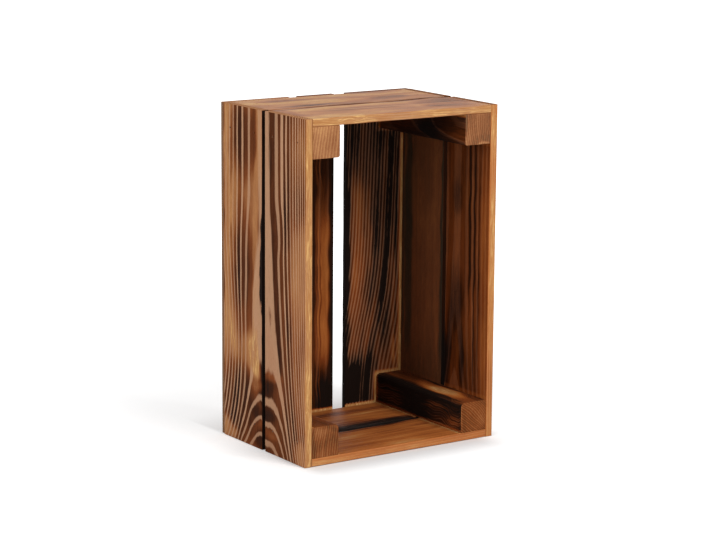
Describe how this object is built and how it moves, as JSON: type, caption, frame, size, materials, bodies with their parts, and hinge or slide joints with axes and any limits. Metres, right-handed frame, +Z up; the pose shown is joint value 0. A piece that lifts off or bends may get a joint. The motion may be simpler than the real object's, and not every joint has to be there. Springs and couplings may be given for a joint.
{
  "type": "kindling box",
  "caption": "Flame-burnt pine crate standing on a short end: paired planks nailed to square corner battens, slatted back, open mouth for kindling or logs.",
  "frame": {"origin": "middle of the base, on the surface that the box stands on", "axes": "+Z up along the box's long side as it stands, -Y out of the open mouth, +X to the right as seen from the front"},
  "size_m": [0.3, 0.21, 0.45],
  "materials": {
    "outer_plank": "flame-burnt pine, oiled, satin",
    "end_plank": "flame-burnt pine, oiled, satin",
    "back_board": "heavily flame-burnt pine, oiled, satin",
    "batten": "flame-burnt pine with sawn end grain, oiled",
    "nail": "bare wire nail, slightly dull"
  },
  "bodies": {
    "root": {"left_front_plank": "outer_plank", "left_rear_plank": "outer_plank", "right_front_plank": "outer_plank", "right_rear_plank": "outer_plank", "top_front_plank": "end_plank", "top_rear_plank": "end_plank", "bottom_front_plank": "end_plank", "bottom_rear_plank": "end_plank", "back_left_board": "back_board", "back_middle_board": "back_board", "back_right_board": "back_board", "top_left_batten": "batten", "top_right_batten": "batten", "bottom_left_batten": "batten", "bottom_right_batten": "batten", "left_side_nails": "nail", "right_side_nails": "nail", "top_nails": "nail", "bottom_nails": "nail", "back_nails": "nail"}
  },
  "joints": []
}
